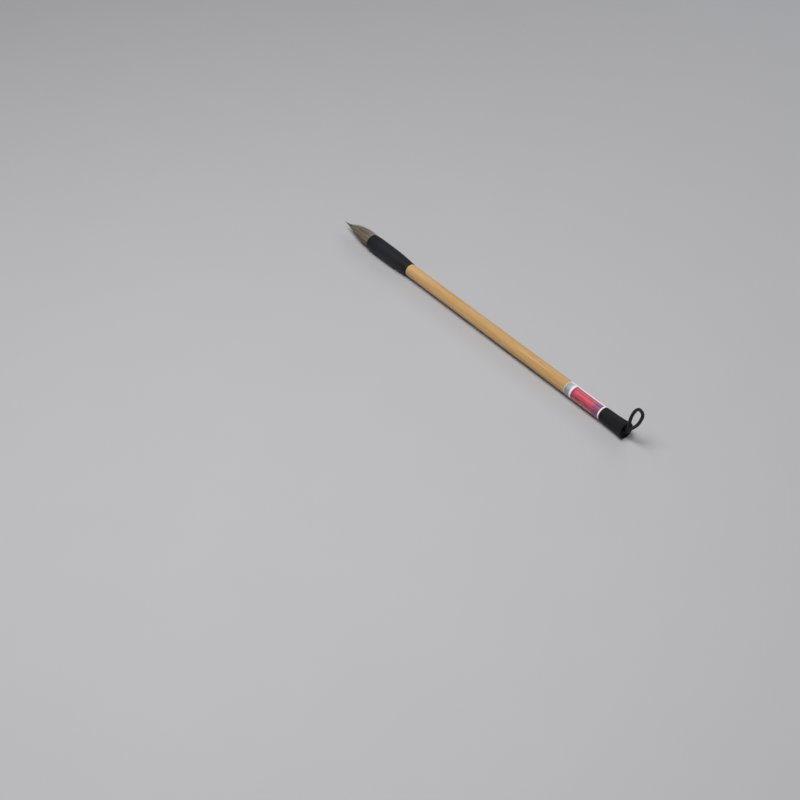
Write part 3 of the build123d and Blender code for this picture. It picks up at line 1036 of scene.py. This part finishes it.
# ---- tail cap -------------------------------------------------------------------------------------
def cap_finish():
    """Moulded black plastic, duller and painted darker in the grooves as shade, and polished along the
    ribs.
    """
    own = settings("cap")
    finish = Finish("black cap", Roughness=0.4)
    finish.shader.inputs["Specular IOR Level"].default_value = 0.18
    place = finish.place()
    crest_polish_and_groove_shade = finish.attribute("rib")
    grain = finish.cloud(place, 3.5, 4.0, 0.6)
    dust = finish.cloud(finish.stretched(place, 0.5, 1.4, 1.4), 0.8, 5.0, 0.6)
    # Painted shade: the grooves between the ribs are darker than the crests.
    shade = finish.mix(crest_polish_and_groove_shade, (0.0050, 0.0050, 0.0065), own.shade)
    finish.set(Base_Color=finish.mix(dust.step(0.5, 0.8) * 0.2, shade, (0.030, 0.030, 0.035)))
    finish.set(Roughness=0.50 - crest_polish_and_groove_shade * 0.14 + dust * 0.14)
    finish.bump(grain, 0.012 * MM)
    return finish.material


def cap_radius(x):
    """The tail cap's flaring outline, along the ribs' crests."""
    outline = [(0.0, CAP_FRONT_RADIUS / MM), (0.45, 4.40), (0.78, 4.78), (1.0, SWELL_RADIUS / MM)]
    return MM * through(outline, (x - SHAFT_END_X) / (LIP_X - SHAFT_END_X))


def strand_slot(offset, width):
    """The radius of an upright slot with round ends, as a function of the angle from the top."""

    def radius(angle):
        up, across = abs(math.cos(angle)), abs(math.sin(angle))
        if across * offset > width * up:
            return width / across
        return offset * up + math.sqrt(width**2 - (offset * across) ** 2)

    return radius


class BRUSH_OT_make_cap(bpy.types.Operator):
    """Make the fluted tail cap with its scalloped lip and dished end"""

    bl_idname = "brush.make_cap"
    bl_label = "Make tail cap"

    def execute(self, context):
        own = settings("cap")
        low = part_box("tail_cap")[0]
        ribs, depth = own.ribs, own.flute_depth
        edge = 0.2 * MM
        collar, fade_in = 0.8 * MM, 1.6 * MM  # plain at the front, then the ribs come up
        lip_radius, dish_radius, flat_radius = 4.78 * MM, 4.72 * MM, 2.25 * MM
        slot_half_width = 1.1 * MM

        def flute(full, share):
            """Round grooves between narrow ribs, with a rib at the very bottom."""

            def radius(angle):
                groove = math.sin(angle * ribs / 2) ** 2
                return full - depth * share * groove**0.8

            return radius

        outside = []
        for x in spread(SHAFT_END_X + edge, LIP_X - edge, 44):
            run_in = smooth_steps(min(1.0, max(0.0, (x - SHAFT_END_X - collar) / fade_in)))
            outside.append((x, flute(cap_radius(x), run_in)))
        start = [(SHAFT_END_X, REAR_TENON_RADIUS), (SHAFT_END_X, CAP_FRONT_RADIUS - edge * 0.6)]
        lip_round = [
            (LIP_X - edge * 0.4, flute(SWELL_RADIUS - edge * 0.15, 1.05)),
            (LIP_X, flute(SWELL_RADIUS - edge, 1.0)),
            (LIP_X, flute(lip_radius, 0.55)),
        ]
        dish = []
        for share in spread(0.08, 1.0, 10):
            radius = dish_radius + (flat_radius - dish_radius) * share
            sink = DISH_DEPTH * math.sin(share * math.pi / 2) ** 0.9
            dish.append((LIP_X - sink, flute(radius, 0.55 * (1 - share))))
        slot = strand_slot(STRAND_OFFSET, slot_half_width)
        room = LIP_X - 4.4 * MM  # where the slot opens into the knot's room
        inside = [
            (ROOT_X, lambda angle: slot(angle) + 0.04 * MM),
            (ROOT_X - 0.06 * MM, slot),
            (room, slot),
            (room, KNOT_ROOM_RADIUS),
            (low.x, KNOT_ROOM_RADIUS),
            (low.x, REAR_TENON_RADIUS),
        ]
        rings = [*start, *outside, *lip_round, *dish, *inside]
        mesh = turned_mesh("fluted_cap", rings, ribs * 12, closed=True)
        crests = []
        for vertex in mesh.vertices:
            angle = math.atan2(-vertex.co.y, vertex.co.z - AXIS_Z)
            crests.append(math.cos(angle * ribs / 2) ** 2)
        set_attribute(mesh, "rib", crests)
        add_piece("fluted_cap", mesh, cap_finish(), "handle", ("tail_cap",), 50)
        return {"FINISHED"}


# ---- cord -----------------------------------------------------------------------------------------
# The loop's route from its upper strand round to its lower one: (outwards, upwards) from the slot's
# mouth on the brush's axis, in millimetres. It is the same route as the solid cord's.
LOOP_ROUTE = [
    *[(0.0, STRAND_OFFSET / MM), (2.2, 1.15), (3.8, 3.2), (3.4, 7.7), (4.1, 11.5), (5.5, 15.5)],
    *[(7.4, 18.8), (9.5, 20.3), (11.9, 19.4), (12.4, 16.9), (11.3, 13.6), (10.0, 10.1)],
    *[(7.7, 6.6), (4.9, 3.3), (2.5, -0.95), (0.0, -STRAND_OFFSET / MM)],
]


def cord_finish():
    """Braided black nylon cord with fine yarns along each strand, painted darker as shade where a strand
    dips under the others and darkest on the core.
    """
    own = settings("cord")
    finish = Finish("braided cord", Roughness=0.55)
    finish.shader.inputs["Specular IOR Level"].default_value = 0.3
    finish.shader.inputs["Sheen Weight"].default_value = 0.25
    finish.shader.inputs["Sheen Roughness"].default_value = 0.35
    along, around = finish.attribute("along"), finish.attribute("around")
    yarns = ((around * 6.0 + along * 2.0) * math.tau).sine() * 0.5 + 0.5
    wear = finish.cloud(finish.place(), 2.2, 3.0)
    crest = finish.attribute("crest")
    # Painted shade: the cord is darker where its strands dip under others and on the core between them.
    shade = finish.mix(crest * 0.6 + yarns * 0.25, (0.004, 0.004, 0.005), own.shade)
    finish.set(Base_Color=finish.mix(wear.step(0.5, 0.8) * 0.3, shade, (0.032, 0.030, 0.036)))
    finish.set(Roughness=0.48 + yarns * 0.2)
    finish.bump(yarns, 0.02 * MM)
    return finish.material


def smooth_route(points):
    """Points along the smooth NURBS line of a route."""
    curve = bpy.data.curves.new("route", "CURVE")
    curve.dimensions = "3D"
    spline = curve.splines.new("NURBS")
    spline.points.add(len(points) - 1)
    for control, point in zip(spline.points, points):
        control.co = (*point, 1.0)
    spline.order_u = 3
    spline.use_endpoint_u = True
    spline.resolution_u = 24
    holder = bpy.data.objects.new("route", curve)
    bpy.context.scene.collection.objects.link(holder)
    depsgraph = bpy.context.evaluated_depsgraph_get()
    mesh = bpy.data.meshes.new_from_object(holder.evaluated_get(depsgraph))
    line = [vertex.co.copy() for vertex in mesh.vertices]
    bpy.data.objects.remove(holder)
    bpy.data.curves.remove(curve)
    bpy.data.meshes.remove(mesh)
    return line


def line_length(line):
    return sum((after - before).length for before, after in zip(line, line[1:]))


def at_even_steps(line, step):
    """The same line with its points a step apart."""
    count = max(8, round(line_length(line) / step))
    spacing = line_length(line) / count
    even, travelled, index = [line[0].copy()], 0.0, 0
    for number in range(1, count):
        goal = spacing * number
        while travelled + (line[index + 1] - line[index]).length < goal:
            travelled += (line[index + 1] - line[index]).length
            index += 1
        share = (goal - travelled) / (line[index + 1] - line[index]).length
        even.append(line[index].lerp(line[index + 1], share))
    even.append(line[-1].copy())
    return even


def steady_frames(line):
    """For each point of a line, two directions across it that turn as little as they can."""
    last = len(line) - 1
    ahead = [(line[min(i + 1, last)] - line[max(i - 1, 0)]).normalized() for i in range(last + 1)]
    side = ahead[0].orthogonal().normalized()
    frames = []
    for direction in ahead:
        side = (side - direction * side.dot(direction)).normalized()
        frames.append((side, direction.cross(side)))
    return frames


def braided_cord(name, line, diameter, pitch):
    """Strands that wind both ways along a line, over two and under two, round a core."""
    line = at_even_steps(line, 0.11 * MM)
    frames = steady_frames(line)
    each_way = 6
    middle, swing = 0.345 * diameter, 0.042 * diameter
    half_width, flat = 0.165 * diameter, 0.72
    cord = TubeMesh("along", "around", "crest")
    travel = [line_length(line) * index / (len(line) - 1) for index in range(len(line))]
    for way in (1, -1):
        for strand in range(each_way):
            points, outwards, weave_lights = [], [], []
            for point, (side, other), distance in zip(line, frames, travel):
                turn = math.tau * (way * distance / pitch + strand / each_way)
                over = way * math.cos(math.pi * (each_way * distance / pitch + strand - way / 4))
                out = side * math.cos(turn) + other * math.sin(turn)
                points.append(point + out * (middle + swing * over))
                outwards.append(out)
                # Painted shade: high where the strand rides over, low where it dips under.
                weave_lights.append(0.5 + 0.5 * over)
            along = [distance / pitch * each_way for distance in travel]
            cord.add(points, [half_width] * len(points), 8, outwards, flat, along=along, crest=weave_lights)
    # Painted shade: the core gets the darkest colour.
    cord.add(line, [middle] * len(line), 12, [side for side, other in frames], along=0.0, crest=0.0)
    return cord.mesh(name)


class BRUSH_OT_make_cord(bpy.types.Operator):
    """Braid the hanging loop, its two tails and the knot that holds them inside the cap"""

    bl_idname = "brush.make_cord"
    bl_label = "Make hanging cord"

    def execute(self, context):
        own = settings("cord")
        finish = cord_finish()
        route = [Vector((ROOT_X + out * MM, 0, AXIS_Z + up * MM)) for out, up in LOOP_ROUTE]
        line = smooth_route(route)
        mesh = braided_cord("hanging_loop", line, own.diameter, own.braid_pitch)
        loop = add_piece("hanging_loop", mesh, finish, None, ("cord_loop",), 80)
        start, end = (ROOT_X + 0.9 * MM, 0, AXIS_Z), (ROOT_X + 4.6 * MM, 0, AXIS_Z + 1.6 * MM)
        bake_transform(loop)
        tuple(start)
        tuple(end)
        tuple(line[0])
        line_length(line)

        low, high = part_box("knotted_tails")
        middle = low.x + 2.7 * MM
        long, wide, tall = 1.25 * MM, 1.35 * MM, 1.05 * MM
        knot = []
        for turn in spread(0.0, 0.92 * math.tau, 12):
            rise = tall * math.cos(turn) * (1 - 0.35 * math.cos(2 * turn))
            knot.append(Vector((middle + long * math.sin(2 * turn), wide * math.sin(turn), AXIS_Z + rise)))
        top, bottom = AXIS_Z + STRAND_OFFSET, AXIS_Z - STRAND_OFFSET
        tails = [Vector((high.x, 0, top)), Vector((middle + 2.2 * MM, 0, top))]
        ends = [Vector((middle + 2.0 * MM, 0, bottom)), Vector((high.x, 0, bottom))]
        line = smooth_route([*tails, *knot, *ends])
        mesh = braided_cord("cord_knot", line, own.diameter, own.braid_pitch)
        add_piece("cord_knot", mesh, finish, "handle", ("knotted_tails",), 80)
        return {"FINISHED"}


# ---- stage ----------------------------------------------------------------------------------------
CAMERA_PLACE = Vector((0.6979, -0.6391, 0.6928))
CAMERA_AHEAD = Vector((-0.60079, 0.50141, -0.62261))
CAMERA_UP = Vector((-0.50451, 0.36632, 0.78184))

# Soft lights: name, place, target, width and height in metres, and colour.
SOFTBOXES = (
    ("key", (0.02, -0.30, 0.94), (0, 0, 0), 0.6, 0.5, (1.0, 0.985, 0.96)),
    ("fill", (0.9, -0.5, 0.5), (0.05, 0, 0), 0.6, 0.6, (0.95, 0.97, 1.0)),
    ("back", (-0.15, 0.80, 0.55), (0, 0, 0), 0.7, 0.4, (0.95, 0.97, 1.0)),
)


def floor_finish():
    own = settings("stage")
    finish = Finish("pale floor", Roughness=0.7)
    grain = finish.cloud(finish.place(), 0.02, 3.0)
    low = [0.97 * value for value in own.floor_shade]
    finish.set(Base_Color=finish.mix(grain, low, own.floor_shade))
    return finish.material


def add_softbox(name, place, target, width, height, shade, power):
    light = bpy.data.lights.new(name, "AREA")
    light.shape = "RECTANGLE"
    light.size, light.size_y = width, height
    light.energy = power
    light.color = shade
    holder = bpy.data.objects.new(name, light)
    holder.location = place
    holder.rotation_euler = (Vector(target) - Vector(place)).to_track_quat("-Z", "Y").to_euler()
    bpy.context.scene.collection.objects.link(holder)


class BRUSH_OT_make_stage(bpy.types.Operator):
    """Set up the pale floor, the soft studio lights and the camera"""

    bl_idname = "brush.make_stage"
    bl_label = "Make stage"

    def execute(self, context):
        own = settings("stage")
        mesh = bpy.data.meshes.new("floor")
        reach = 4.0
        corners = [(-reach, -reach, 0), (reach, -reach, 0), (reach, reach, 0), (-reach, reach, 0)]
        mesh.from_pydata(corners, [], [(0, 1, 2, 3)])
        mesh.materials.append(floor_finish())
        floor = bpy.data.objects.new("floor", mesh)
        bpy.context.scene.collection.objects.link(floor)

        world = bpy.data.worlds.new("daylight")
        world.use_nodes = True
        light = world.node_tree.nodes["Background"].inputs
        light["Color"].default_value = (0.93, 0.96, 1.0, 1.0)
        light["Strength"].default_value = own.daylight
        bpy.context.scene.world = world
        bpy.context.scene.view_settings.view_transform = "Standard"
        for name, *setup in SOFTBOXES:
            add_softbox(name, *setup, getattr(own, f"{name}_power"))

        camera = bpy.data.cameras.new("camera")
        camera.lens = own.lens
        camera.sensor_width = 36.0
        camera.clip_start, camera.clip_end = 0.01, 20.0
        holder = bpy.data.objects.new("camera", camera)
        right = CAMERA_AHEAD.cross(CAMERA_UP).normalized()
        up = right.cross(CAMERA_AHEAD).normalized()
        turn = Matrix((right, up, -CAMERA_AHEAD)).transposed().to_4x4()
        holder.matrix_world = Matrix.Translation(CAMERA_PLACE) @ turn
        bpy.context.scene.collection.objects.link(holder)
        bpy.context.scene.camera = holder
        return {"FINISHED"}


# ---- add-on ---------------------------------------------------------------------------------------
OPERATORS = (
    BRUSH_OT_make_roots,
    BRUSH_OT_make_tuft,
    BRUSH_OT_make_ferrule,
    BRUSH_OT_make_bamboo,
    BRUSH_OT_make_label,
    BRUSH_OT_make_cap,
    BRUSH_OT_make_cord,
    BRUSH_OT_make_stage,
)


class BRUSH_PT_panel(bpy.types.Panel):
    """Lists the settings and the steps that make the brush"""

    bl_idname = "BRUSH_PT_panel"
    bl_label = "Calligraphy Brush"
    bl_space_type = "VIEW_3D"
    bl_region_type = "UI"
    bl_category = "Brush"

    def draw(self, context):
        for part in SETTINGS:
            box = self.layout.box()
            box.label(text=part.capitalize())
            group = settings(part)
            for name in group.__annotations__:
                box.prop(group, name)
        for operator in OPERATORS:
            self.layout.operator(operator.bl_idname)


def register():
    for part, group in SETTINGS.items():
        bpy.utils.register_class(group)
        setattr(bpy.types.Scene, f"brush_{part}", PointerProperty(type=group))
    for item in (*OPERATORS, BRUSH_PT_panel):
        bpy.utils.register_class(item)


def unregister():
    for item in reversed((*OPERATORS, BRUSH_PT_panel)):
        bpy.utils.unregister_class(item)
    for part, group in SETTINGS.items():
        delattr(bpy.types.Scene, f"brush_{part}")
        bpy.utils.unregister_class(group)


def main():
    register()
    for operator in OPERATORS:
        getattr(bpy.ops.brush, operator.bl_idname.split(".")[1])()


if __name__ == "__main__":
    main()
